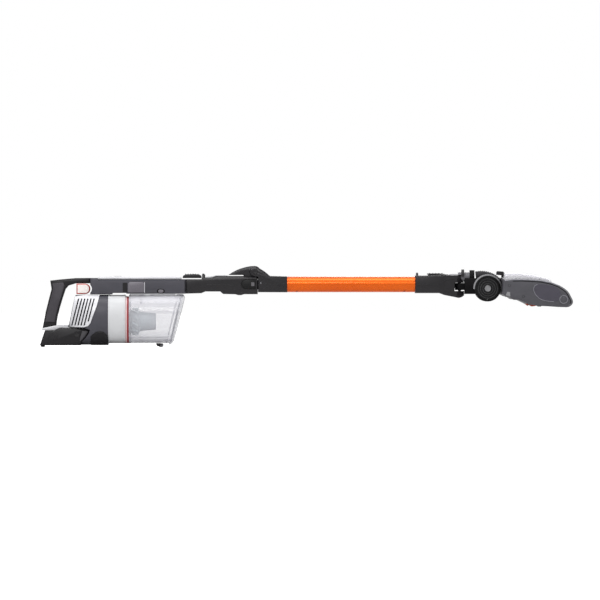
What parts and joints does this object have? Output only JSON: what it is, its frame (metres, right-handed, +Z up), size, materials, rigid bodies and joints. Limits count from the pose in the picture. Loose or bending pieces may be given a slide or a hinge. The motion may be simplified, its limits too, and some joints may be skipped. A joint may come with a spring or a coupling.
{
  "type": "cordless stick vacuum cleaner",
  "caption": "Cordless stick vacuum laid out straight: D-handled handset with battery and clear dust cup, folding wand, tube, and a swivelling powered floor head on wheels.",
  "frame": {"origin": "under the middle of the whole object's bounding box, on the plane of the battery heel and the dust cup's foot", "axes": "+X along the wand from the handle to the floor head's nose, +Y to the user's left, +Z up with the handle above the battery"},
  "size_m": [1.373, 0.26, 0.2095],
  "materials": {
    "dark_plastic": "satin moulded ABS, dark slate grey",
    "black_plastic": "satin moulded ABS, near black",
    "grip_rubber": "fine-grained soft-touch overmould",
    "silver_plastic": "bright silver-white moulding",
    "pale_plastic": "pale grey-green moulding",
    "clear_plastic": "clear polycarbonate",
    "red_rubber": "red silicone seal",
    "orange_tube": "orange lacquer over thin aluminium tube",
    "orange_trigger": "orange-red gloss moulding",
    "grey_plastic": "mid grey satin moulding",
    "head_plastic": "slate grey gloss-satin moulding",
    "pale_grey_plastic": "light grey satin moulding",
    "tyre_rubber": "black rubber",
    "hose_rubber": "ribbed flexible hose and soft seals",
    "brush_bristle": "orange nylon bristles on a roll",
    "roller_pile": "soft woven pile",
    "steel": "bright turned steel",
    "motor_alloy": "cast and turned alloy",
    "filter_foam": "open-cell foam",
    "circuit_green": "coated circuit board",
    "cell_wrap": "wrapped battery cells"
  },
  "bodies": {
    "handset": {"handle_shell_right": "black_plastic", "handle_shell_left": "black_plastic", "grip_pad_right": "grip_rubber", "grip_pad_left": "grip_rubber", "handle_base": "silver_plastic", "motor_housing": "dark_plastic", "suction_motor": "motor_alloy", "exhaust_grille_right": "silver_plastic", "exhaust_grille_left": "silver_plastic", "boom_housing": "dark_plastic", "boom_top_cover": "silver_plastic", "control_board": "circuit_green", "filter_housing": "pale_plastic", "foam_filter": "filter_foam", "wand_upper_housing": "black_plastic", "fold_pin": "steel", "fold_hose": "hose_rubber"},
    "trigger": {"trigger": "orange_trigger"},
    "motor_impeller": {"motor_impeller": "motor_alloy"},
    "battery": {"battery_case": "black_plastic", "battery_cells": "cell_wrap"},
    "battery_release_right": {"battery_release_right": "grey_plastic"},
    "battery_release_left": {"battery_release_left": "grey_plastic"},
    "dust_cup": {"dust_cup": "clear_plastic", "cup_seal": "red_rubber", "cyclone_shroud": "grey_plastic", "cyclone_cone": "pale_plastic", "cup_foot": "black_plastic", "door_hinge_pin": "steel"},
    "cup_door": {"cup_door": "clear_plastic", "door_seal": "hose_rubber"},
    "cup_release_slider": {"cup_release_slider": "grey_plastic"},
    "door_release_button": {"door_release_button": "grey_plastic"},
    "wand_release_button": {"wand_release_button": "black_plastic"},
    "fold_release_button": {"fold_release_button": "dark_plastic"},
    "lower_wand": {"wand_lower_housing": "black_plastic", "wand_tube": "orange_tube", "neck_socket": "black_plastic", "swivel_pin": "steel"},
    "head_release_button": {"head_release_button": "black_plastic"},
    "neck": {"neck_yoke": "black_plastic", "swivel_hose": "hose_rubber"},
    "head": {"head_chassis": "dark_plastic", "head_cover": "head_plastic", "head_window": "clear_plastic", "side_cap_right": "head_plastic", "side_cap_left": "head_plastic", "wheel_guard_right": "pale_grey_plastic", "wheel_guard_left": "pale_grey_plastic", "wheel_axle": "steel", "roller_motor": "motor_alloy", "drive_belt": "tyre_rubber", "pitch_hose": "hose_rubber"},
    "wheel_right": {"wheel_right": "black_plastic", "tyre_right": "tyre_rubber"},
    "wheel_left": {"wheel_left": "black_plastic", "tyre_left": "tyre_rubber"},
    "brush_roll": {"brush_roll": "brush_bristle"},
    "soft_roller": {"soft_roller": "roller_pile"},
    "window_latch": {"window_latch": "black_plastic"}
  },
  "joints": [
    {"name": "trigger_pull", "type": "slide", "parent": "handset", "child": "trigger", "axis": [1, 0, 0], "range_m": [0, 0.004], "stiffness_N_per_m": 400},
    {"name": "impeller_spin", "type": "hinge", "parent": "handset", "child": "motor_impeller", "pos_m": [-0.54853, 0, 0.086], "axis": [1, 0, 0], "continuous": true},
    {"name": "battery_slide", "type": "slide", "parent": "handset", "child": "battery", "axis": [-0.866, 0, -0.5], "range_m": [0, 0.12]},
    {"name": "battery_release_right_press", "type": "slide", "parent": "battery", "child": "battery_release_right", "axis": [0, 1, 0], "range_m": [0, 0.002], "stiffness_N_per_m": 400},
    {"name": "battery_release_left_press", "type": "slide", "parent": "battery", "child": "battery_release_left", "axis": [0, -1, 0], "range_m": [0, 0.002], "stiffness_N_per_m": 400},
    {"name": "cup_slide", "type": "slide", "parent": "handset", "child": "dust_cup", "axis": [1, 0, 0], "range_m": [0, 0.07]},
    {"name": "cup_door_swing", "type": "hinge", "parent": "dust_cup", "child": "cup_door", "pos_m": [-0.37373, 0, 0.0042], "axis": [0, 1, 0], "range_deg": [0, 80]},
    {"name": "cup_release_slide", "type": "slide", "parent": "handset", "child": "cup_release_slider", "axis": [-1, 0, 0], "range_m": [0, 0.006], "stiffness_N_per_m": 400},
    {"name": "door_release_press", "type": "slide", "parent": "handset", "child": "door_release_button", "axis": [0, 1, 0], "range_m": [0, 0.0025], "stiffness_N_per_m": 400},
    {"name": "wand_release_press", "type": "slide", "parent": "handset", "child": "wand_release_button", "axis": [0, 0, -1], "range_m": [0, 0.0024], "stiffness_N_per_m": 400},
    {"name": "fold_release_press", "type": "slide", "parent": "handset", "child": "fold_release_button", "axis": [0, 1, 0], "range_m": [0, 0.0025], "stiffness_N_per_m": 400},
    {"name": "wand_fold", "type": "hinge", "parent": "handset", "child": "lower_wand", "pos_m": [-0.13053, 0, 0.1955], "axis": [0, -1, 0], "range_deg": [0, 175], "deforming": ["fold_hose"]},
    {"name": "head_release_press", "type": "slide", "parent": "lower_wand", "child": "head_release_button", "axis": [0, 0, -1], "range_m": [0, 0.0024], "stiffness_N_per_m": 400},
    {"name": "head_swivel", "type": "hinge", "parent": "lower_wand", "child": "neck", "pos_m": [0.39827, 0, 0.156], "axis": [0, 0, 1], "range_deg": [-50, 50], "deforming": ["swivel_hose"]},
    {"name": "head_pitch", "type": "hinge", "parent": "neck", "child": "head", "pos_m": [0.47037, 0, 0.1509], "axis": [0, 1, 0], "range_deg": [-4.4, 86], "deforming": ["pitch_hose"]},
    {"name": "wheel_right_spin", "type": "hinge", "parent": "head", "child": "wheel_right", "pos_m": [0.47037, 0, 0.1509], "axis": [0, 1, 0], "continuous": true},
    {"name": "wheel_left_spin", "type": "hinge", "parent": "head", "child": "wheel_left", "pos_m": [0.47037, 0, 0.1509], "axis": [0, 1, 0], "continuous": true},
    {"name": "soft_roller_spin", "type": "hinge", "parent": "head", "child": "soft_roller", "pos_m": [0.66386, 0, 0.12257], "axis": [0, 1, 0], "continuous": true},
    {"name": "brush_roll_spin", "type": "hinge", "parent": "head", "child": "brush_roll", "pos_m": [0.58583, 0, 0.12647], "axis": [0, 1, 0], "continuous": true},
    {"name": "window_latch_slide", "type": "slide", "parent": "head", "child": "window_latch", "axis": [-0.9971, 0, 0.0767], "range_m": [0, 0.004], "stiffness_N_per_m": 400}
  ],
  "couplings": [
    {"joint": "brush_roll_spin", "follows": "soft_roller_spin", "ratio": 1.6}
  ]
}
